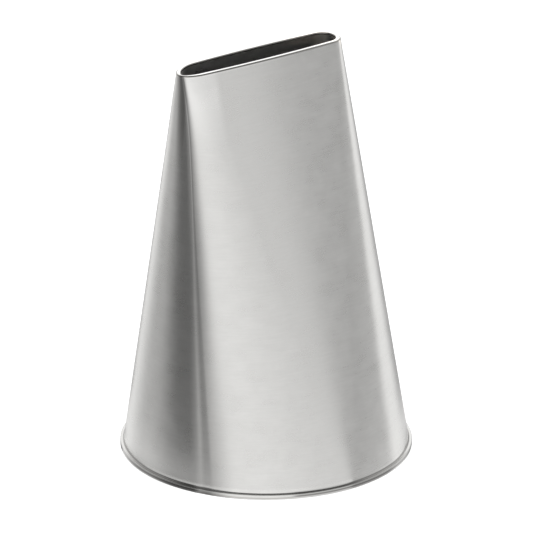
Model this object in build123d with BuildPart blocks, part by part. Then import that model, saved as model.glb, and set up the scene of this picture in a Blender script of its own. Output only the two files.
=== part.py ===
from build123d import *
from math import asin, atan, cos, degrees, radians, sin
import os

# Piping nozzle of stainless sheet: a cone pressed to a flat slot at the mouth and turned out to a
# narrow lip at the base, closed by one welded butt seam. The wall is developable: it unrolls to a flat
# blank, so its straight rulings join points of the base circle and of the mouth whose tangents agree.
# Frame: millimetres, +Z along the nozzle towards the mouth, origin in the middle of the base plane,
# X along the slot, the seam on the -X end, turned towards the -Y face.

# Driving dimensions
sheet = 0.30             # thickness of the sheet
height = 24.90           # from the base plane to the cut rim of the mouth
base_diameter = 17.06    # outside of the cone where the lip's bend begins
lip_reach = 0.22         # how far the lip stands out past the cone
lip_bend = 0.09          # inside radius of the bend between cone and lip
lip_edge_round = 0.05    # rounding on the lip's two outer edges
slot_length = 10.74      # clear length of the mouth
slot_width = 1.78        # clear width of the mouth at its middle
slot_belly = 0.12        # how far each long side swells past the round ends
slot_offset = -0.50      # the pressed mouth sits a little towards the seam end
seam_angle = 28.6        # seam's place, turned from the -X end towards the -Y face
weld_width = 0.26        # width of the bead between the two butt edges

# Worked out from them: the lean of the wall, and its thickness measured level
base_radius = base_diameter / 2
side_lean = atan((base_radius - slot_width / 2 - sheet) / (height - sheet))
end_lean = atan((base_radius - slot_length / 2 - sheet) / (height - sheet))
lean = (side_lean + end_lean) / 2
level_wall = sheet / cos(lean)
lip_top = sheet + lip_bend * (1 - sin(lean))
lip_radius = base_radius + lip_reach

# The mouth's four tangent arcs: round ends, and long sides of a large radius
end_radius = slot_width / 2 - slot_belly
end_centre = slot_length / 2 - end_radius
side_radius = (end_centre**2 + (slot_width / 2)**2 - end_radius**2) / (2 * slot_belly)
side_centre = side_radius - slot_width / 2
side_half_angle = degrees(asin(end_centre / (side_radius - end_radius)))


def arc_poles(centre, radius, start, turn):
    """Control points of an exact arc about a centre: its two ends, and between them the meeting point
    of their tangents, which takes the cosine of half the turn as its weight."""
    tangents_meet = radius / cos(radians(turn / 2))
    poles = []
    for angle, reach in ((start, radius), (start + turn / 2, tangents_meet), (start + turn, radius)):
        poles.append(centre + Vector(reach, 0, 0).rotate(Axis.Z, angle))
    return poles


def cone_patch(start, turn, foot_radius, mouth_centre, mouth_radius):
    """Exact oblique cone: straight rulings join an arc of the base circle to the arc of the mouth that
    turns by the same angles. The weights go in inverse proportion to the two radii, so lines that are
    straight on the unrolled patch are straight in its parameters too, however much it narrows."""
    foot = arc_poles(Vector(0, 0, lip_top), foot_radius, start, turn)
    mouth = arc_poles(mouth_centre, mouth_radius, start, turn)
    rulings = [list(ends) for ends in zip(foot, mouth)]
    narrowing = foot_radius / mouth_radius
    weights = [[weight, weight * narrowing] for weight in (1, cos(radians(turn / 2)), 1)]
    return Face.make_bezier_surface(rulings, weights)


def closed_skin(wall):
    """Solid inside the wall's surface, grown outwards from the inner skin by a level wall. Quarter
    cones close down to the mouth's round ends, and narrow ones open out to its long sides."""
    foot_radius = base_radius - level_wall + wall
    middle = Vector(slot_offset, 0, height)
    to_end = Vector(end_centre, 0, 0)
    to_side_centre = Vector(0, -side_centre, 0)
    quarter = 90 - side_half_angle
    half = [
        cone_patch(0, quarter, foot_radius, middle + to_end, end_radius + wall),
        cone_patch(quarter, 2 * side_half_angle, foot_radius, middle + to_side_centre, side_radius + wall),
        cone_patch(180 - quarter, quarter, foot_radius, middle - to_end, end_radius + wall),
    ]
    patches = half + [patch.mirror(Plane.XZ) for patch in half]
    levels = ShapeList(edge for patch in patches for edge in patch.edges()).group_by(Axis.Z)
    foot_face = Face(Wire(levels[0]))
    mouth_face = Face(Wire(levels[-1]))
    return Solid(Shell(patches + [foot_face, mouth_face]))


# Closed form of the pressed sheet, before the seam is marked off in it
with BuildPart() as pressed_form:
    add(closed_skin(level_wall))
    add(closed_skin(0), mode=Mode.SUBTRACT)
    # The lip: the sheet bends from the wall's lean out to level, about one centre of bend
    bend_r = base_radius + lip_bend * cos(lean)
    bend_z = sheet + lip_bend
    inner_bend = lip_bend + sheet
    with BuildSketch(Plane.XZ):
        with BuildLine():
            outer_start = (base_radius, lip_top)
            inner_start = (base_radius - level_wall, lip_top)
            inner_bend_top = (bend_r - inner_bend * cos(lean), bend_z - inner_bend * sin(lean))
            Line(inner_start, inner_bend_top)
            CenterArc((bend_r, bend_z), inner_bend, 180 + degrees(lean), 90 - degrees(lean))
            Line((bend_r, 0), (lip_radius, 0))
            Line((lip_radius, 0), (lip_radius, sheet))
            Line((lip_radius, sheet), (bend_r, sheet))
            CenterArc((bend_r, bend_z), lip_bend, 270, degrees(lean) - 90)
            Line(outer_start, inner_start)
        make_face()
    revolve(axis=Axis.Z)
    lip_edges = pressed_form.faces().filter_by(GeomType.CYLINDER).edges().filter_by(GeomType.CIRCLE)
    fillet(lip_edges, lip_edge_round)

# The seam follows one ruling. The sheet's normal is the same all along it, so one plane through the
# ruling and that normal cuts the butt edges square to the sheet over their whole length.
seam_turn = radians(180 + seam_angle)
outward = Vector(cos(seam_turn), sin(seam_turn), 0)
seam_foot = outward * base_radius + Vector(0, 0, lip_top)
seam_head = Vector(slot_offset - end_centre, 0, height) + outward * (end_radius + level_wall)
ruling = (seam_head - seam_foot).normalized()
along_wall = Vector(-outward.Y, outward.X, 0)
across_seam = (along_wall - ruling * along_wall.dot(ruling)).normalized()
seam_plane = Plane(origin=seam_foot, x_dir=ruling, z_dir=across_seam)
seam_length = (seam_head - seam_foot).length

# The strip runs past both ends of the ruling, out past the lip's edge, and in short of the far wall
strip_overrun = lip_top + sheet
strip_outwards = lip_reach + sheet
strip_inwards = sheet + end_radius
with BuildSketch(seam_plane) as seam_strip:
    with Locations((seam_length / 2, (strip_outwards - strip_inwards) / 2)):
        Rectangle(seam_length + 2 * strip_overrun, strip_outwards + strip_inwards)

# The sheet, left open along the seam by the width of the weld
with BuildPart() as tip_body:
    add(pressed_form.part)
    extrude(seam_strip.sketch, amount=weld_width / 2, both=True, mode=Mode.SUBTRACT)

# The weld bead, ground flush with the sheet inside, outside and at both ends
with BuildPart() as seam_weld:
    add(pressed_form.part)
    extrude(seam_strip.sketch, amount=weld_width / 2, both=True, mode=Mode.INTERSECT)

os.makedirs("parts", exist_ok=True)
tip_body.part.label = "tip_body"
export_step(tip_body.part, "parts/tip_body.step")
seam_weld.part.label = "seam_weld"
export_step(seam_weld.part, "parts/seam_weld.step")
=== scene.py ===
import math

import bpy
import numpy as np
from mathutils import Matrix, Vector


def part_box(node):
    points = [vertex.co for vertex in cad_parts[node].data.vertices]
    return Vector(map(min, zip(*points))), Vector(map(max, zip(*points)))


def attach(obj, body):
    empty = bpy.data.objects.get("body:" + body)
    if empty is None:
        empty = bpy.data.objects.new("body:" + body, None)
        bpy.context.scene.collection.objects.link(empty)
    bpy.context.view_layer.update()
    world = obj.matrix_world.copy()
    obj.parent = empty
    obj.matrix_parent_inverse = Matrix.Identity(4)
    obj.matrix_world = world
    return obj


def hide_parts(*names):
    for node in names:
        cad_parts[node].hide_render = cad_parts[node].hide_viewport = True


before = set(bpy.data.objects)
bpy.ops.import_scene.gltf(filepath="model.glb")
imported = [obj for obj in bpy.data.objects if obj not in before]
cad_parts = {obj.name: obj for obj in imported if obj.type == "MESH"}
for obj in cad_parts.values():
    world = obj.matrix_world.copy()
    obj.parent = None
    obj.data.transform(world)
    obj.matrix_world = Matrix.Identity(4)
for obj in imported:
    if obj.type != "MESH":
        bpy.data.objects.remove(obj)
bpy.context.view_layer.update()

# Piping nozzle of brushed stainless sheet: a circular base drawn up to a long narrow slot, a turned-out
# lip at the base, and one welded butt seam. Lengths are millimetres until a mesh is made of them.
MM = 0.001

# Dimensions of the pressed sheet
SHEET = 0.30
HEIGHT = 24.90
BASE_RADIUS = 8.53
LIP_BEND = 0.09
LIP_EDGE_ROUND = 0.05
SLOT_LENGTH = 10.74
SLOT_WIDTH = 1.78
SLOT_BELLY = 0.12
SLOT_OFFSET = -0.50
SEAM_ANGLE = 28.6
WELD_WIDTH = 0.26
RIM_ROUND = 0.085
# The ground weld lies in a shallow valley, wide at the lip and narrower towards the mouth
VALLEY_AT_LIP = 0.55
VALLEY_NARROWING = 0.0275
VALLEY_LEAST = 0.07
VALLEY_STEEPNESS = 0.065
VALLEY_DEPTH_LEAST = 0.004
VALLEY_END = 0.5
# Beside it the sheet bows slowly, in a wave with height, outwards on the far side of the seam while it
# goes inwards on the near one
BOW_DEPTH = 0.02
BOW_REACH = 1.1
BOW_CREST = 4.0
BOW_PERIOD = 18.0
BOW_START = 0.5
BOW_RISE = 2.0
BOW_FALL = 2.0
# Where the sheet's edges meet, the press pinched the mouth's end over a short height: a shoulder in the
# near side, then a tighter corner, and a heel over to the far side
SHOULDER_START = 4.75
SHOULDER_RADIUS = 2.0
SHOULDER_TURN = math.radians(24.0)
CORNER_RADIUS = 0.30
HEEL_RADIUS = 1.80
PINCH_HEIGHT = 5.5
PINCH_POWER = 2.2
# and the pinched end is a little thinner than the rest of the sheet, most at this angle
THINNED = 0.08
THINNED_TURN = math.radians(200)

side_lean = math.atan((BASE_RADIUS - SLOT_WIDTH / 2 - SHEET) / (HEIGHT - SHEET))
end_lean = math.atan((BASE_RADIUS - SLOT_LENGTH / 2 - SHEET) / (HEIGHT - SHEET))
mean_lean = (side_lean + end_lean) / 2
level_wall = SHEET / math.cos(mean_lean)
lip_top = SHEET + LIP_BEND * (1 - math.sin(mean_lean))
packed_low, packed_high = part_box("tip_body")
lip_radius = min(*packed_high.xy, *-packed_low.xy) / MM

end_radius = SLOT_WIDTH / 2 - SLOT_BELLY
end_centre = SLOT_LENGTH / 2 - end_radius
side_radius = (end_centre**2 + (SLOT_WIDTH / 2) ** 2 - end_radius**2) / (2 * SLOT_BELLY)
side_centre = side_radius - SLOT_WIDTH / 2
side_half_angle = math.asin(end_centre / (side_radius - end_radius))

# The pinched end's arcs, each tangent to the one before it: shoulder, corner, heel, far side. The heel's
# centre is where two circles meet, each as large as a difference of two radii.
shoulder_end = 1.5 * math.pi - math.asin(SHOULDER_START / side_radius)
corner_end = shoulder_end - SHOULDER_TURN
to_shoulder = side_radius - SHOULDER_RADIUS
shoulder_x = SLOT_OFFSET + to_shoulder * math.cos(shoulder_end)
shoulder_y = side_centre + to_shoulder * math.sin(shoulder_end)
corner_x = shoulder_x + (SHOULDER_RADIUS - CORNER_RADIUS) * math.cos(corner_end)
corner_y = shoulder_y + (SHOULDER_RADIUS - CORNER_RADIUS) * math.sin(corner_end)
gap_x, gap_y = corner_x - SLOT_OFFSET, corner_y + side_centre
gap = math.hypot(gap_x, gap_y)
along_gap = ((side_radius - HEEL_RADIUS) ** 2 - (HEEL_RADIUS - CORNER_RADIUS) ** 2 + gap**2) / (2 * gap)
off_gap = math.sqrt((side_radius - HEEL_RADIUS) ** 2 - along_gap**2)
heel_x = SLOT_OFFSET + (along_gap * gap_x + off_gap * gap_y) / gap
heel_y = -side_centre + (along_gap * gap_y - off_gap * gap_x) / gap
heel_start = math.atan2(heel_y + side_centre, heel_x - SLOT_OFFSET)
heel_end = math.atan2(corner_y - heel_y, corner_x - heel_x)

# The seam follows one ruling, which climbs a little to one side, so a level cut across the weld is wider
seam_turn = math.radians(180 + SEAM_ANGLE)
seam_side_step = (SLOT_OFFSET - end_centre) * -math.sin(seam_turn)
weld_half_level = WELD_WIDTH / 2 / math.cos(math.atan(seam_side_step / (HEIGHT - lip_top)))


# ---- The shape of the sheet ----

def mouth_arc(turn):
    """Centre and inner radius of the mouth's arc whose outward direction is at the angle turn: a long
    side within the side's half angle of the Y direction, and else the round end on that side."""
    on_side = np.abs(np.sin(turn)) > math.cos(side_half_angle)
    centre_x = SLOT_OFFSET + np.where(on_side, 0.0, np.sign(np.cos(turn)) * end_centre)
    centre_y = np.where(on_side, -np.sign(np.sin(turn)) * side_centre, 0.0)
    radius = np.where(on_side, side_radius, end_radius)
    return centre_x, centre_y, radius


def pinched_arc(turn):
    """The same for the pinched mouth, whose seam end is a heel arc, a corner arc and a shoulder arc."""
    centre_x, centre_y, radius = mouth_arc(turn)
    turn = np.mod(turn, 2 * math.pi)
    on_heel = (turn > heel_start) & (turn < heel_end)
    on_corner = (turn >= heel_end) & (turn < corner_end)
    on_shoulder = (turn >= corner_end) & (turn < shoulder_end)
    on_near_side = (turn >= shoulder_end) & (turn < 1.5 * math.pi)
    on_far_side = (turn <= heel_start) & (turn > 0.5 * math.pi)
    places = [on_heel, on_corner, on_shoulder, on_near_side, on_far_side]
    centre_x = np.select(places, [heel_x, corner_x, shoulder_x, SLOT_OFFSET, SLOT_OFFSET], centre_x)
    centre_y = np.select(places, [heel_y, corner_y, shoulder_y, side_centre, -side_centre], centre_y)
    radii = [HEEL_RADIUS, CORNER_RADIUS, SHOULDER_RADIUS, side_radius, side_radius]
    radius = np.select(places, radii, radius)
    return centre_x, centre_y, radius


def pinch_share(z):
    """How far the pinch has set in at a height: a power of the share of its own height, 1 at the rim."""
    return np.clip((z - HEIGHT + PINCH_HEIGHT) / PINCH_HEIGHT, 0, 1) ** PINCH_POWER


def wall_point(turn, out, z):
    """Point of the wall on the ruling at the angle turn: base point plus (mouth point - base point)
    times the share of the height. Both are centre + (inner radius + out) * outward direction, and the
    mouth's arc goes over to the pinched one by the pinch's share."""
    share = (z - lip_top) / (HEIGHT - lip_top)
    pinch = pinch_share(z)
    plain, pinched = mouth_arc(turn), pinched_arc(turn)
    centre_x, centre_y, radius = [(1 - pinch) * a + pinch * b for a, b in zip(plain, pinched)]
    reach = (1 - share) * (BASE_RADIUS - level_wall + out) + share * (radius + out)
    x = share * centre_x + reach * np.cos(turn)
    y = share * centre_y + reach * np.sin(turn)
    return np.stack(np.broadcast_arrays(x, y, z), axis=-1)


def wall_lean(turn):
    """Lean of the tangent plane along the ruling at the angle turn: the outward shrink from base to
    mouth over the height between them."""
    centre_x, centre_y, radius = mouth_arc(turn)
    mouth_reach = centre_x * np.cos(turn) + centre_y * np.sin(turn) + radius + level_wall
    return np.arctan((BASE_RADIUS - mouth_reach) / (HEIGHT - lip_top))


WALL_ROWS = 40
ROUND_ROWS = 7
BEND_ROWS = 12
# A row at this distance from a rounding keeps the flat beside it flat
HOLD = 0.02


def row_heights():
    """Heights of the wall's rows, even from under the rim's rounding down to above the lip's bend."""
    top = HEIGHT - RIM_ROUND - HOLD
    return np.linspace(top, lip_top + HOLD, WALL_ROWS)


def way_from_seam(turn):
    """Angle from the seam's ruling, between minus and plus half a turn."""
    return np.mod(turn - seam_turn + math.pi, 2 * math.pi) - math.pi


def valley(turn, reach, z):
    """Depth of the valley along the seam: half the depth times 1 + cos(pi * way from the seam / width)
    within its width, and 0 beyond. The width shrinks with height, and the depth with the width. It
    ends a little under the rim."""
    width = np.maximum(VALLEY_LEAST, VALLEY_AT_LIP - VALLEY_NARROWING * z)
    depth = np.maximum(VALLEY_DEPTH_LEAST, VALLEY_STEEPNESS * 2 * width / math.pi)
    depth = depth * np.clip((HEIGHT - z) / VALLEY_END, 0, 1)
    share = np.clip(np.abs(way_from_seam(turn) * reach) / width, 0, 1)
    return depth * (1 + np.cos(math.pi * share)) / 2


def bow(turn, reach, z):
    """Depth of the slow bow beside the seam: x * exp((1 - x * x) / 2), where x is the way from the seam
    over the bow's reach, times a wave of the height that is 1 at its crests and -1/3 half-way between
    them. It sets in smoothly above the lip and ends smoothly under the rim."""
    x = way_from_seam(turn) * reach / BOW_REACH
    wave = (1 + 2 * np.cos(2 * math.pi * (z - BOW_CREST) / BOW_PERIOD)) / 3
    ends = np.clip((z - BOW_START) / BOW_RISE, 0, 1) * np.clip((HEIGHT - z) / BOW_FALL, 0, 1)
    return BOW_DEPTH * x * np.exp((1 - x * x) / 2) * wave * ends**2 * (3 - 2 * ends)


def skin(turns, outside):
    """One skin of the sheet from the middle of the cut rim to the middle of the lip's edge, as a grid
    of rows by columns. turns(reach) gives a row's angles for its radius of curvature. Rows: the rim's
    flat and quarter-round, the straight rulings, the bend about a centre set off square from the
    wall, the lip's level face, and the quarter-round of its edge."""
    arc = np.linspace(math.pi / 2, 0, ROUND_ROWS)
    rise = HEIGHT - RIM_ROUND + RIM_ROUND * np.sin(arc)
    inset = RIM_ROUND * (1 - np.cos(arc))
    inset = np.concatenate([[RIM_ROUND + HOLD], inset, np.zeros(WALL_ROWS)])
    rise = np.concatenate([[HEIGHT], rise, row_heights()])
    out = level_wall - inset if outside else inset
    share = (rise - lip_top) / (HEIGHT - lip_top)
    seam_radius = end_radius + pinch_share(rise) * (CORNER_RADIUS - end_radius)
    reach = (1 - share) * (BASE_RADIUS - level_wall + out) + share * (seam_radius + out)
    turn = turns(reach)
    if outside:
        reach, z = reach[:, None], rise[:, None]
        moved = out[:, None] - valley(turn, reach, z) - bow(turn, reach, z)
    else:
        facing = np.clip(np.cos(turn - THINNED_TURN), 0, 1) ** 2
        moved = out[:, None] + THINNED * pinch_share(rise)[:, None] * facing
    wall = wall_point(turn, moved, rise[:, None])

    bend_reach = np.full(BEND_ROWS, BASE_RADIUS)
    turn = turns(bend_reach)
    lean = wall_lean(turn)
    start_z = SHEET + LIP_BEND * (1 - np.sin(lean))
    outward = np.stack([np.cos(turn), np.sin(turn), np.zeros_like(turn)], axis=-1)
    upward = np.array([0.0, 0.0, 1.0])
    square = outward * np.cos(lean)[..., None] + upward * np.sin(lean)[..., None]
    centre = wall_point(turn, level_wall, start_z) + LIP_BEND * square
    part = np.linspace(0, 1, BEND_ROWS)[:, None]
    angle = lean + (math.pi / 2 - lean) * part
    depth = (1 - part) * level_wall * np.cos(lean) + part * SHEET
    radius = LIP_BEND + (0 if outside else 1) * depth
    spoke = outward * np.cos(angle)[..., None] + upward * np.sin(angle)[..., None]
    bend = centre - radius[..., None] * spoke
    if outside:
        bend = bend - (valley(turn, BASE_RADIUS, lip_top) * np.cos(angle))[..., None] * outward

    arc = np.linspace(0, math.pi / 2, ROUND_ROWS)
    edge_r = lip_radius - LIP_EDGE_ROUND * (1 - np.sin(arc))
    edge_z = LIP_EDGE_ROUND * (1 - np.cos(arc))
    level_r = lip_radius - LIP_EDGE_ROUND - HOLD / 2
    lip_r = np.concatenate([[level_r], edge_r, [lip_radius]])
    lip_z = np.concatenate([[0.0], edge_z, [LIP_EDGE_ROUND + HOLD]])
    if outside:
        lip_z = SHEET - lip_z
    turn = turns(np.full(len(lip_r), BASE_RADIUS))
    notched = np.clip((lip_r - level_r) / LIP_EDGE_ROUND, 0, 1)[:, None]
    lip_r = lip_r[:, None] - valley(turn, BASE_RADIUS, lip_top) * notched
    lip = np.stack([lip_r * np.cos(turn), lip_r * np.sin(turn),
                    lip_z[:, None] * np.ones_like(turn)], axis=-1)
    return np.concatenate([wall, bend, lip])


def weld_half_turn(reach):
    """Half the angle that the weld's constant width takes up at a radius of curvature, as a column."""
    return np.arcsin(weld_half_level / reach)[:, None]


# Up to this angle from the butt edges the sheet's columns are crowded and follow the weld's width. The
# counts are for the runs seam, near end, near side, other end, far side and back to the seam.
BLEND_TURN = math.radians(50)
SHEET_COLUMNS = (40, 8, 44, 116, 44, 44, 40)
WELD_COLUMNS = 13
SHARP_EDGE = math.radians(40)


def sheet_turns(reach):
    """Angles of the sheet's columns, from one butt edge round to the other. They are crowded where the
    long sides stand, and near the seam they spread with the weld's width."""
    to_near_side = math.radians(270) - seam_turn
    to_far_side = math.radians(450) - seam_turn
    corners = [0.0, BLEND_TURN,
               to_near_side - side_half_angle, to_near_side + side_half_angle,
               to_far_side - side_half_angle, to_far_side + side_half_angle,
               2 * math.pi - BLEND_TURN, 2 * math.pi]
    runs = [np.linspace(start, end, count, endpoint=False)
            for start, end, count in zip(corners, corners[1:], SHEET_COLUMNS)]
    even = np.concatenate(runs + [[2 * math.pi]])
    near_seam = np.minimum(even, 2 * math.pi - even) < BLEND_TURN
    crowded = np.minimum(even, 2 * math.pi - even) ** 2 / BLEND_TURN
    even = np.where(near_seam, np.where(even < math.pi, crowded, 2 * math.pi - crowded), even)
    from_edge = np.minimum(even, 2 * math.pi - even)
    half = weld_half_turn(reach)
    near = np.clip(1 - from_edge / BLEND_TURN, 0, 1)
    return seam_turn + even + np.where(even < math.pi, 1, -1) * half * near


def weld_turns(reach):
    """Angles of the weld's columns, even from butt edge to butt edge."""
    return seam_turn + np.linspace(-1, 1, WELD_COLUMNS) * weld_half_turn(reach)


def closing_faces(outer, inner):
    """Faces between the two skins' rows of corners at one butt edge: a ladder of four-sided faces. Two
    rungs at each end lie in one line, so there the last two steps are one six-sided face."""
    ladder = np.stack([outer[2:-3], outer[3:-2], inner[3:-2], inner[2:-3]], axis=-1)
    ends = [np.concatenate([outer[part], inner[part][::-1]]) for part in (slice(0, 3), slice(-3, None))]
    return [end.tolist() for end in ends] + ladder.tolist()


def grid_piece(name, outer, inner):
    """Closed piece from its two skins, rows by columns: the loop outer skin, lip's edge, inner skin, cut
    rim is carried along the columns, and a ladder of faces closes it at both butt edges.
    The UV map runs along the loop in U and round the nozzle in V, both in millimetres."""
    rows, columns = outer.shape[:2]
    ring = np.concatenate([outer, inner[::-1]])
    count = len(ring)
    index = np.arange(count * columns).reshape(count, columns)
    below = np.roll(index, -1, axis=0)
    sides = np.stack([index[:, :-1], below[:, :-1], below[:, 1:], index[:, 1:]], axis=-1)
    outer_rows, inner_rows = index[:rows], index[::-1][:rows]
    caps = [face[::-1] for face in closing_faces(outer_rows[:, 0], inner_rows[:, 0])]
    caps += closing_faces(outer_rows[:, -1], inner_rows[:, -1])

    steps = np.linalg.norm(np.diff(ring, axis=0, append=ring[:1]), axis=-1)
    along = np.concatenate([[0.0], np.cumsum(steps.mean(axis=1))])
    across = np.linspace(0, 2 * math.pi * BASE_RADIUS, columns)
    row_of = np.arange(count)[:, None] + np.array([0, 1, 1, 0])
    u = np.broadcast_to(along[row_of][:, None, :], (count, columns - 1, 4))
    column_of = np.arange(columns - 1)[:, None] + np.array([0, 0, 1, 1])
    v = np.broadcast_to(across[column_of][None, :, :], (count, columns - 1, 4))
    side_uv = np.stack([u, v], axis=-1).reshape(-1, 2)
    cap_uv = ring.reshape(-1, 3)[np.concatenate(caps)][:, [2, 0]]

    mesh = bpy.data.meshes.new(name)
    mesh.from_pydata((ring.reshape(-1, 3) * MM).tolist(), [], sides.reshape(-1, 4).tolist() + caps)
    layer = mesh.uv_layers.new(name="brushing")
    layer.data.foreach_set("uv", np.concatenate([side_uv, cap_uv]).astype(np.float32).reshape(-1))
    mesh.polygons.foreach_set("use_smooth", np.ones(len(mesh.polygons), dtype=bool))
    mesh.set_sharp_from_angle(angle=SHARP_EDGE)
    mesh.update()
    mesh.validate()
    piece = bpy.data.objects.new(name, mesh)
    bpy.context.scene.collection.objects.link(piece)
    return piece


sheet_piece = grid_piece("nozzle_sheet", skin(sheet_turns, True), skin(sheet_turns, False))
weld_piece = grid_piece("seam_bead", skin(weld_turns, True), skin(weld_turns, False))


# ---- Finishes ----

def socket(group, name, kind, way, default=None):
    """New socket of a node group, with its default where it is an input with one."""
    made = group.interface.new_socket(name=name, in_out=way, socket_type=kind)
    if default is not None:
        made.default_value = default
    return made


def place(tree, kind, **settings):
    """New node in a tree, with its settings."""
    node = tree.nodes.new(kind)
    for key, value in settings.items():
        setattr(node, key, value)
    return node


LINE_SCALES = (1.0, 0.31)
LINE_DETAIL = 3.0
LINE_GRAIN = 0.6
COARSE_SHARE = 0.6
CLOUD_SCALE = 900.0
CLOUD_SHARE = 0.5


def brush_lines_group():
    """Lines left by brushing round the nozzle: two noises that change fast with height and slowly round
    the wall, and a soft cloudiness. Tone is the mix of all three, and Height is the coarser lines."""
    group = bpy.data.node_groups.new("brush_lines", "ShaderNodeTree")
    socket(group, "Position", "NodeSocketVector", "INPUT")
    socket(group, "Line Density", "NodeSocketFloat", "INPUT", 14000.0)
    socket(group, "Line Drift", "NodeSocketFloat", "INPUT", 700.0)
    socket(group, "Tone", "NodeSocketFloat", "OUTPUT")
    socket(group, "Height", "NodeSocketFloat", "OUTPUT")
    entry = place(group, "NodeGroupInput")
    leave = place(group, "NodeGroupOutput")
    split = place(group, "ShaderNodeSeparateXYZ")
    group.links.new(entry.outputs["Position"], split.inputs[0])
    noises = []
    for scale in LINE_SCALES:
        line = place(group, "ShaderNodeMath", operation="MULTIPLY")
        group.links.new(entry.outputs["Line Density"], line.inputs[0])
        line.inputs[1].default_value = scale
        up = place(group, "ShaderNodeMath", operation="MULTIPLY")
        group.links.new(split.outputs["Z"], up.inputs[0])
        group.links.new(line.outputs[0], up.inputs[1])
        joined = place(group, "ShaderNodeCombineXYZ")
        for axis in "XY":
            drift = place(group, "ShaderNodeMath", operation="MULTIPLY")
            group.links.new(split.outputs[axis], drift.inputs[0])
            group.links.new(entry.outputs["Line Drift"], drift.inputs[1])
            group.links.new(drift.outputs[0], joined.inputs[axis])
        group.links.new(up.outputs[0], joined.inputs["Z"])
        noise = place(group, "ShaderNodeTexNoise")
        noise.inputs["Scale"].default_value = 1.0
        noise.inputs["Detail"].default_value = LINE_DETAIL
        noise.inputs["Roughness"].default_value = LINE_GRAIN
        group.links.new(joined.outputs[0], noise.inputs["Vector"])
        noises.append(noise)
    fine, coarse = noises
    mix = place(group, "ShaderNodeMix", data_type="FLOAT")
    mix.inputs["Factor"].default_value = COARSE_SHARE
    group.links.new(fine.outputs["Fac"], mix.inputs["A"])
    group.links.new(coarse.outputs["Fac"], mix.inputs["B"])
    cloud = place(group, "ShaderNodeTexNoise")
    cloud.inputs["Scale"].default_value = CLOUD_SCALE
    group.links.new(entry.outputs["Position"], cloud.inputs["Vector"])
    tone = place(group, "ShaderNodeMix", data_type="FLOAT")
    tone.inputs["Factor"].default_value = CLOUD_SHARE
    group.links.new(mix.outputs["Result"], tone.inputs["A"])
    group.links.new(cloud.outputs["Fac"], tone.inputs["B"])
    group.links.new(tone.outputs["Result"], leave.inputs["Tone"])
    group.links.new(coarse.outputs["Fac"], leave.inputs["Height"])
    return group


brush_lines = brush_lines_group()


def edge_finish_and_painted_light_group():
    """Masks on the steel: the smooth cut rim and lip, and painted light in the base colour. That is a
    painted highlight band under the mouth's seam end, painted shade beside it, painted light on the
    inside of the mouth's other end, a painted dark shade line in the lip's edge, and a painted dark shade
    line under the rim. Off its front stretch the lip has painted shade, with a darker painted shade line
    in its crevice and a higher painted dark shade line.
    Each mask is a product of smooth steps, from 0 at the first limit to 1 at the second. A limit is a
    place in millimetres along an axis, or a share of one of the two front stretches."""
    group = bpy.data.node_groups.new("edge_finish_and_painted_light", "ShaderNodeTree")
    socket(group, "Position", "NodeSocketVector", "INPUT")
    stretches = {
        "Front": [("X", -7.95, -7.7), ("X", -3.2, -4.2), ("Y", 0.5, -0.5)],
        "Wide Front": [("X", -7.95, -7.7), ("X", 0.3, -0.7), ("Y", 0.5, -0.5)],
    }
    zones = {
        "Cut Rim": [("Z", HEIGHT - 0.16, HEIGHT - 0.08)],
        "Lip": [("Z", 0.60, 0.42)],
        # painted highlight: a lighter band on the outside under the mouth's seam end
        "Painted Highlight Band": [("Z", 20.0, 23.8), ("X", -4.2, -4.75), ("Y", -0.65, -0.95)],
        # painted shade: a darker patch beside the seam, under the painted highlight band
        "Painted Seam Shade": [("Z", 19.0, 22.0), ("X", -4.0, -5.0), ("Y", 0.0, -0.35), ("Y", -0.80, -0.62)],
        # painted light: a lighter, warmer patch inside the mouth's other end
        "Painted Inner Light": [("Z", 19.0, 22.5), ("X", 1.2, 3.2), ("X", 4.95, 4.7),
                      ("Y", 1.02, 0.92), ("Y", -1.02, -0.92)],
        # painted shade: a dark line low in the lip's edge, on its front stretch
        "Painted Edge Shade": [("Z", 0.05, 0.09), ("Z", 0.17, 0.12), ("Front", 0.0, 1.0)],
        # painted shade: a dark line along the rim's rounding
        "Painted Rim Shade": [("Z", HEIGHT - 0.09, HEIGHT - 0.06), ("Z", HEIGHT - 0.002, HEIGHT - 0.009)],
        # painted shade: the lip darker off its front stretch
        "Painted Lip Shade": [("Z", 0.41, 0.35), ("Z", 0.05, 0.12), ("Front", 1.0, 0.0)],
        # painted shade: a darker line in the crease where the wall bends into the lip, off the wide front
        # stretch
        "Painted Crevice Shade": [("Z", 0.39, 0.34), ("Z", 0.298, 0.306), ("Wide Front", 1.0, 0.0)],
        # painted shade: a dark line in the lip's edge, higher than on the front, off the front stretch
        "Painted High Shade Line": [("Z", 0.11, 0.15), ("Z", 0.24, 0.20), ("Front", 1.0, 0.0)],
    }
    for name in zones:
        socket(group, name, "NodeSocketFloat", "OUTPUT")
    entry = place(group, "NodeGroupInput")
    leave = place(group, "NodeGroupOutput")
    split = place(group, "ShaderNodeSeparateXYZ")
    group.links.new(entry.outputs["Position"], split.inputs[0])
    measures = {axis: split.outputs[axis] for axis in "XYZ"}
    for name, limits in {**stretches, **zones}.items():
        whole = None
        for measure, start, end in limits:
            unit = 1 if measure in stretches else MM
            part = place(group, "ShaderNodeMapRange", interpolation_type="SMOOTHSTEP")
            part.inputs["From Min"].default_value = start * unit
            part.inputs["From Max"].default_value = end * unit
            group.links.new(measures[measure], part.inputs["Value"])
            product = place(group, "ShaderNodeMath", operation="MULTIPLY")
            group.links.new(part.outputs["Result"], product.inputs[0])
            product.inputs[1].default_value = 1.0
            if whole is not None:
                group.links.new(whole, product.inputs[1])
            whole = product.outputs[0]
        measures[name] = whole
        if name in zones:
            group.links.new(whole, leave.inputs[name])
    return group


edge_finish_and_painted_light = edge_finish_and_painted_light_group()

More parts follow.
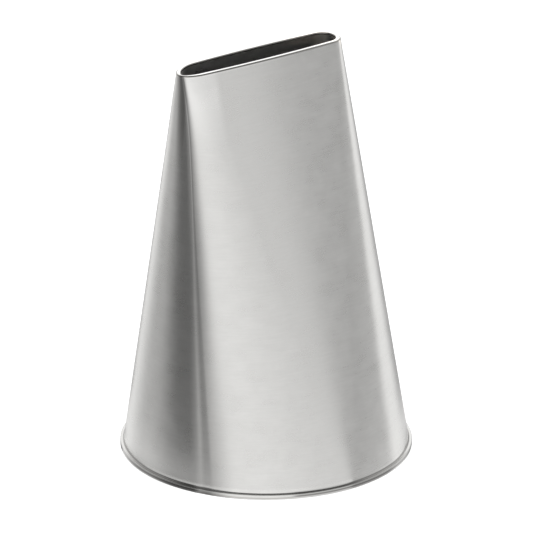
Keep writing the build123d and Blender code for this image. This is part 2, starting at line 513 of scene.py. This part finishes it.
# Roughness at the two ends of the tone's range, and on the cut rim and lip. The lines' depth is in metres.
TONE_RANGE = (0.3, 0.7)
SATIN_ROUGHNESS = (0.25, 0.33)
EDGE_ROUGHNESS = 0.14
BRUSHED_SHARE = 0.95
LINE_DEPTH = 1e-6
LINE_STRENGTH = 0.3
# Base colours of painted light: the lighter ones are a painted highlight and painted light, the darker
# ones painted shade and painted dark shade lines
ZONE_COLOURS = {
    # painted highlight band under the mouth's seam end
    "Painted Highlight Band": (0.81, 0.805, 0.79),
    # painted shade beside the seam
    "Painted Seam Shade": (0.54, 0.535, 0.52),
    # painted light inside the mouth's other end
    "Painted Inner Light": (1.0, 0.95, 0.88),
    # painted dark shade line in the lip's edge
    "Painted Edge Shade": (0.50, 0.49, 0.47),
    # painted dark shade line under the rim
    "Painted Rim Shade": (0.38, 0.37, 0.35),
    # painted shade on the lip off its front stretch
    "Painted Lip Shade": (0.50, 0.495, 0.485),
    # painted shade in the crease above the lip
    "Painted Crevice Shade": (0.32, 0.315, 0.305),
    # painted dark shade line, higher in the lip's edge off the front
    "Painted High Shade Line": (0.27, 0.265, 0.255),
}


def brushed_steel(name, dark, light):
    """Satin steel brushed round the nozzle, between a dark and a light tone: reflections are drawn out
    across the brush lines, up and down the wall, and stay narrow round it."""
    material = bpy.data.materials.new(name)
    material.use_nodes = True
    tree = material.node_tree
    shader = tree.nodes["Principled BSDF"]
    shader.inputs["Metallic"].default_value = 1.0
    shader.inputs["Anisotropic"].default_value = BRUSHED_SHARE
    tangent = place(tree, "ShaderNodeTangent", direction_type="UV_MAP", uv_map="brushing")
    tree.links.new(tangent.outputs[0], shader.inputs["Tangent"])
    position = place(tree, "ShaderNodeTexCoord")
    lines = place(tree, "ShaderNodeGroup", node_tree=brush_lines)
    tree.links.new(position.outputs["Object"], lines.inputs["Position"])
    colour = place(tree, "ShaderNodeMix", data_type="RGBA")
    colour.inputs["A"].default_value = (*dark, 1)
    colour.inputs["B"].default_value = (*light, 1)
    tree.links.new(lines.outputs["Tone"], colour.inputs["Factor"])
    finish_and_painted_light_node = place(tree, "ShaderNodeGroup", node_tree=edge_finish_and_painted_light)
    tree.links.new(position.outputs["Object"], finish_and_painted_light_node.inputs["Position"])
    seen = colour.outputs["Result"]
    # Painted light over the brushed tone: each mask mixes in its colour, a painted highlight, painted
    # light or painted shade
    for zone, tint in ZONE_COLOURS.items():
        tinted = place(tree, "ShaderNodeMix", data_type="RGBA")
        tinted.inputs["B"].default_value = (*tint, 1)
        tree.links.new(finish_and_painted_light_node.outputs[zone], tinted.inputs["Factor"])
        tree.links.new(seen, tinted.inputs["A"])
        seen = tinted.outputs["Result"]
    tree.links.new(seen, shader.inputs["Base Color"])
    satin = place(tree, "ShaderNodeMapRange")
    satin.inputs["From Min"].default_value, satin.inputs["From Max"].default_value = TONE_RANGE
    satin.inputs["To Min"].default_value, satin.inputs["To Max"].default_value = SATIN_ROUGHNESS
    tree.links.new(lines.outputs["Tone"], satin.inputs["Value"])
    edges = place(tree, "ShaderNodeMath", operation="MAXIMUM")
    tree.links.new(finish_and_painted_light_node.outputs["Cut Rim"], edges.inputs[0])
    tree.links.new(finish_and_painted_light_node.outputs["Lip"], edges.inputs[1])
    worn = place(tree, "ShaderNodeMix", data_type="FLOAT")
    worn.inputs["B"].default_value = EDGE_ROUGHNESS
    tree.links.new(edges.outputs[0], worn.inputs["Factor"])
    tree.links.new(satin.outputs["Result"], worn.inputs["A"])
    tree.links.new(worn.outputs["Result"], shader.inputs["Roughness"])
    bump = place(tree, "ShaderNodeBump")
    bump.inputs["Strength"].default_value = LINE_STRENGTH
    bump.inputs["Distance"].default_value = LINE_DEPTH
    tree.links.new(lines.outputs["Height"], bump.inputs["Height"])
    tree.links.new(bump.outputs["Normal"], shader.inputs["Normal"])
    return material


sheet_steel = brushed_steel("sheet_steel", (0.57, 0.565, 0.551), (0.84, 0.835, 0.818))
weld_steel = brushed_steel("weld_steel", (0.55, 0.545, 0.531), (0.82, 0.815, 0.798))
sheet_piece.data.materials.append(sheet_steel)
weld_piece.data.materials.append(weld_steel)

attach(sheet_piece, "root")
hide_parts("tip_body")
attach(weld_piece, "root")
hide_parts("seam_weld")


# ---- Studio ----

# Panels that stand round the table, in degrees from the studio's front side to its right: left edge, its
# softness, right edge, its softness, and brightness. The front side is where the photograph is taken from.
FRONT_TURN = -126.2
PANEL_START = -152.0
PANELS = {
    "grey wall on the left": (-134.7, 19.6, -56.5, 2.0, 0.51),
    "black flag": (-93.4, 17.9, -36.8, 13.0, 0.29),
    "grey flag on the right": (25.6, 36.5, 92.7, 35.5, 0.84),
    "grey card": (71.0, 1.5, 118.6, 7.3, 0.56),
    "dark gap behind": (147.5, 13.5, 190.0, 13.6, 0.43),
    "black edge behind": (173.0, 8.0, 200.0, 3.0, 0.08),
}
ROOM_WHITE = 1.07
ROOM_LIGHT = 0.8
# The lit backdrop behind the nozzle is a round patch at a rise, with the start and end of its soft edge,
# and over the panels the ceiling is dark
BACKDROP_RISE = 22.0
BACKDROP_EDGE = (30.0, 16.0)
BACKDROP_LEVEL = 1.6
CEILING_START = (46.0, 60.0)
CEILING_LEVEL = 0.12
# The table is white paint with a little glow to the camera. Metal mirrors a share of it close to the
# base only, which sets in and ends between these radii.
TABLE_RADII = (2.0, 30.0, 300.0)
TABLE_CORNERS = 96
TABLE_PAINT = (0.85, 0.85, 0.85, 1)
TABLE_GLOW = 0.5
TABLE_LEVEL = 1.15
TABLE_SHARE = 0.55
RING_INSIDE = (9.2, 9.8)
RING_OUTSIDE = (11.0, 15.0)


def panel_group():
    """Brightness of one panel by angle, in radians: a smooth fall from 1 to its level at the left edge
    and a smooth rise at the right one."""
    group = bpy.data.node_groups.new("studio_panel", "ShaderNodeTree")
    for name in ("Angle", "Left", "Left Soft", "Right", "Right Soft", "Level"):
        socket(group, name, "NodeSocketFloat", "INPUT")
    socket(group, "Brightness", "NodeSocketFloat", "OUTPUT")
    entry = place(group, "NodeGroupInput")
    leave = place(group, "NodeGroupOutput")
    steps = []
    for side in ("Left", "Right"):
        step = place(group, "ShaderNodeMapRange", interpolation_type="SMOOTHSTEP")
        group.links.new(entry.outputs["Angle"], step.inputs["Value"])
        for operation, end in (("SUBTRACT", "From Min"), ("ADD", "From Max")):
            edge = place(group, "ShaderNodeMath", operation=operation)
            group.links.new(entry.outputs[side], edge.inputs[0])
            group.links.new(entry.outputs[side + " Soft"], edge.inputs[1])
            group.links.new(edge.outputs[0], step.inputs[end])
        steps.append(step)
    inside = place(group, "ShaderNodeMath", operation="SUBTRACT")
    group.links.new(steps[0].outputs["Result"], inside.inputs[0])
    group.links.new(steps[1].outputs["Result"], inside.inputs[1])
    mix = place(group, "ShaderNodeMix", data_type="FLOAT")
    group.links.new(inside.outputs[0], mix.inputs["Factor"])
    mix.inputs["A"].default_value = 1.0
    group.links.new(entry.outputs["Level"], mix.inputs["B"])
    group.links.new(mix.outputs["Result"], leave.inputs["Brightness"])
    return group


studio_panel = panel_group()


def panels_seen(tree, direction):
    """All panels' brightness multiplied, for a direction socket. Returns the socket of the product."""
    split = place(tree, "ShaderNodeSeparateXYZ")
    tree.links.new(direction, split.inputs[0])
    turn = place(tree, "ShaderNodeMath", operation="ARCTAN2")
    tree.links.new(split.outputs["Y"], turn.inputs[0])
    tree.links.new(split.outputs["X"], turn.inputs[1])
    from_front = place(tree, "ShaderNodeMath", operation="SUBTRACT")
    tree.links.new(turn.outputs[0], from_front.inputs[0])
    from_front.inputs[1].default_value = math.radians(FRONT_TURN)
    angle = place(tree, "ShaderNodeMath", operation="WRAP")
    tree.links.new(from_front.outputs[0], angle.inputs[0])
    angle.inputs[1].default_value = math.radians(PANEL_START + 360)
    angle.inputs[2].default_value = math.radians(PANEL_START)
    seen = None
    for settings in PANELS.values():
        panel = place(tree, "ShaderNodeGroup", node_tree=studio_panel)
        tree.links.new(angle.outputs[0], panel.inputs["Angle"])
        for name, degrees in zip(("Left", "Left Soft", "Right", "Right Soft"), settings):
            panel.inputs[name].default_value = math.radians(degrees)
        panel.inputs["Level"].default_value = settings[4]
        product = place(tree, "ShaderNodeMath", operation="MULTIPLY")
        tree.links.new(panel.outputs[0], product.inputs[0])
        product.inputs[1].default_value = ROOM_WHITE
        if seen is not None:
            tree.links.new(seen, product.inputs[1])
        seen = product.outputs[0]
    return seen


def laid_over(tree, under, level, measure, ends):
    """Brightness that goes over smoothly from a socket's, or from 0 without one, to a level while a
    measure goes from one end to the other."""
    share = place(tree, "ShaderNodeMapRange", interpolation_type="SMOOTHSTEP")
    share.inputs["From Min"].default_value, share.inputs["From Max"].default_value = ends
    tree.links.new(measure, share.inputs["Value"])
    mix = place(tree, "ShaderNodeMix", data_type="FLOAT")
    tree.links.new(share.outputs["Result"], mix.inputs["Factor"])
    mix.inputs["A"].default_value = 0.0
    if under is not None:
        tree.links.new(under, mix.inputs["A"])
    mix.inputs["B"].default_value = level
    return mix.outputs["Result"]


def backdrop_rays(tree):
    """Light Path sockets: camera rays, and glossy or transmission rays."""
    path = place(tree, "ShaderNodeLightPath")
    both = place(tree, "ShaderNodeMath", operation="MAXIMUM")
    tree.links.new(path.outputs["Is Glossy Ray"], both.inputs[0])
    tree.links.new(path.outputs["Is Transmission Ray"], both.inputs[1])
    return path.outputs["Is Camera Ray"], both.outputs[0]


def studio_world():
    """White to the camera, the room with its panels to metal, and a plain white light to the rest."""
    world = bpy.data.worlds.new("studio")
    world.use_nodes = True
    tree = world.node_tree
    tree.nodes.clear()
    camera_ray, glossy_ray = backdrop_rays(tree)
    white = place(tree, "ShaderNodeBackground")
    white.inputs["Color"].default_value = (1, 1, 1, 1)
    plain = place(tree, "ShaderNodeBackground")
    plain.inputs["Color"].default_value = (1, 1, 1, 1)
    plain.inputs["Strength"].default_value = ROOM_LIGHT
    room = place(tree, "ShaderNodeBackground")
    room.inputs["Color"].default_value = (1, 1, 1, 1)
    place_of = place(tree, "ShaderNodeTexCoord")
    seen = panels_seen(tree, place_of.outputs["Generated"])
    away, rise = math.radians(FRONT_TURN + 180), math.radians(BACKDROP_RISE)
    backdrop = place(tree, "ShaderNodeVectorMath", operation="DOT_PRODUCT")
    tree.links.new(place_of.outputs["Generated"], backdrop.inputs[0])
    backdrop.inputs[1].default_value = (math.cos(away) * math.cos(rise),
                                        math.sin(away) * math.cos(rise), math.sin(rise))
    split = place(tree, "ShaderNodeSeparateXYZ")
    tree.links.new(place_of.outputs["Generated"], split.inputs[0])
    ceiling_ends = [math.sin(math.radians(end)) for end in CEILING_START]
    backdrop_ends = [math.cos(math.radians(end)) for end in BACKDROP_EDGE]
    seen = laid_over(tree, seen, CEILING_LEVEL, split.outputs["Z"], ceiling_ends)
    seen = laid_over(tree, seen, BACKDROP_LEVEL, backdrop.outputs["Value"], backdrop_ends)
    tree.links.new(seen, room.inputs["Strength"])
    by_metal = place(tree, "ShaderNodeMixShader")
    tree.links.new(glossy_ray, by_metal.inputs[0])
    tree.links.new(plain.outputs[0], by_metal.inputs[1])
    tree.links.new(room.outputs[0], by_metal.inputs[2])
    by_camera = place(tree, "ShaderNodeMixShader")
    tree.links.new(camera_ray, by_camera.inputs[0])
    tree.links.new(by_metal.outputs[0], by_camera.inputs[1])
    tree.links.new(white.outputs[0], by_camera.inputs[2])
    out = place(tree, "ShaderNodeOutputWorld")
    tree.links.new(by_camera.outputs[0], out.inputs["Surface"])
    bpy.context.scene.world = world


studio_world()


def table_top():
    """Round white table top: rings of radius r at even angles, a disc of four-sided faces round one
    middle face. Seen from below it is clear."""
    angle = np.linspace(0, 2 * math.pi, TABLE_CORNERS, endpoint=False)
    radii = np.array(TABLE_RADII)
    disc = np.stack([radii[:, None] * np.cos(angle), radii[:, None] * np.sin(angle),
                     np.zeros((len(radii), len(angle)))], axis=-1)
    index = np.arange(disc.shape[0] * disc.shape[1]).reshape(disc.shape[:2])
    following = np.roll(index, -1, axis=1)
    faces = np.stack([index[:-1], index[1:], following[1:], following[:-1]], axis=-1)
    mesh = bpy.data.meshes.new("table_top")
    mesh.from_pydata((disc.reshape(-1, 3) * MM).tolist(), [],
                     faces.reshape(-1, 4).tolist() + [index[0].tolist()])
    table = bpy.data.objects.new("table_top", mesh)
    bpy.context.scene.collection.objects.link(table)

    material = bpy.data.materials.new("white_table")
    material.use_nodes = True
    tree = material.node_tree
    tree.nodes.clear()
    camera_ray, glossy_ray = backdrop_rays(tree)
    paint = place(tree, "ShaderNodeBsdfDiffuse")
    paint.inputs["Color"].default_value = TABLE_PAINT
    position = place(tree, "ShaderNodeTexCoord")
    far = place(tree, "ShaderNodeVectorMath", operation="LENGTH")
    tree.links.new(position.outputs["Object"], far.inputs[0])
    outside_base = place(tree, "ShaderNodeMath", operation="GREATER_THAN")
    tree.links.new(far.outputs["Value"], outside_base.inputs[0])
    outside_base.inputs[1].default_value = BASE_RADIUS * MM
    clear = place(tree, "ShaderNodeBsdfTransparent")
    bright = place(tree, "ShaderNodeEmission")
    bright.inputs["Strength"].default_value = TABLE_LEVEL
    ring = None
    for (start, end), level in ((RING_INSIDE, TABLE_SHARE), (RING_OUTSIDE, 0.0)):
        ring = laid_over(tree, ring, level, far.outputs["Value"], (start * MM, end * MM))
    around = place(tree, "ShaderNodeMixShader")
    tree.links.new(ring, around.inputs[0])
    tree.links.new(clear.outputs[0], around.inputs[1])
    tree.links.new(bright.outputs[0], around.inputs[2])
    mirrored = place(tree, "ShaderNodeMixShader")
    tree.links.new(outside_base.outputs[0], mirrored.inputs[0])
    tree.links.new(paint.outputs[0], mirrored.inputs[1])
    tree.links.new(around.outputs[0], mirrored.inputs[2])
    glow = place(tree, "ShaderNodeEmission")
    glow.inputs["Strength"].default_value = TABLE_GLOW
    shown = place(tree, "ShaderNodeAddShader")
    tree.links.new(paint.outputs[0], shown.inputs[0])
    tree.links.new(glow.outputs[0], shown.inputs[1])
    by_camera = place(tree, "ShaderNodeMixShader")
    tree.links.new(camera_ray, by_camera.inputs[0])
    tree.links.new(paint.outputs[0], by_camera.inputs[1])
    tree.links.new(shown.outputs[0], by_camera.inputs[2])
    by_metal = place(tree, "ShaderNodeMixShader")
    tree.links.new(glossy_ray, by_metal.inputs[0])
    tree.links.new(by_camera.outputs[0], by_metal.inputs[1])
    tree.links.new(mirrored.outputs[0], by_metal.inputs[2])
    under = place(tree, "ShaderNodeNewGeometry")
    one_sided = place(tree, "ShaderNodeMixShader")
    tree.links.new(under.outputs["Backfacing"], one_sided.inputs[0])
    tree.links.new(by_metal.outputs[0], one_sided.inputs[1])
    tree.links.new(clear.outputs[0], one_sided.inputs[2])
    out = place(tree, "ShaderNodeOutputMaterial")
    tree.links.new(one_sided.outputs[0], out.inputs["Surface"])
    mesh.materials.append(material)
    return table


table_top()


LAMP_HEIGHT = 0.45
LAMP_WIDTH = 0.35
LAMP_POWER = 0.6


def soft_box(name, location, aim, width, power):
    """Square area lamp at a place, aimed at a point, both in metres."""
    lamp = bpy.data.lights.new(name, "AREA")
    lamp.shape = "SQUARE"
    lamp.size = width
    lamp.energy = power
    holder = bpy.data.objects.new(name, lamp)
    holder.location = location
    holder.rotation_euler = (Vector(aim) - Vector(location)).to_track_quat("-Z", "Y").to_euler()
    holder.visible_glossy = False
    bpy.context.scene.collection.objects.link(holder)


soft_box("overhead_box", (0.0, 0.0, LAMP_HEIGHT), (0, 0, 0), LAMP_WIDTH, LAMP_POWER)


# ---- Camera: the photograph's viewing angle ----

VIEW_TURN = 0.6317
VIEW_RISE = 0.3773
VIEW_DISTANCE = 0.389
VIEW_CENTRE = Vector((0.0, 0.0, 0.013))
VIEW_AIM = Vector((0.000015, -0.000011, 0.01129))
VIEW_LENS = 443.17
SENSOR_WIDTH = 36.0
NEAR_LIMIT = 0.01

camera_data = bpy.data.cameras.new("camera")
camera_data.lens = VIEW_LENS
camera_data.sensor_width = SENSOR_WIDTH
camera_data.clip_start = NEAR_LIMIT
camera = bpy.data.objects.new("camera", camera_data)
camera.location = VIEW_CENTRE + VIEW_DISTANCE * Vector((
    -math.sin(VIEW_TURN) * math.cos(VIEW_RISE),
    -math.cos(VIEW_TURN) * math.cos(VIEW_RISE),
    math.sin(VIEW_RISE)))
camera.rotation_euler = (VIEW_AIM - camera.location).to_track_quat("-Z", "Y").to_euler()
bpy.context.scene.collection.objects.link(camera)
bpy.context.scene.camera = camera
bpy.context.scene.view_settings.view_transform = "Standard"
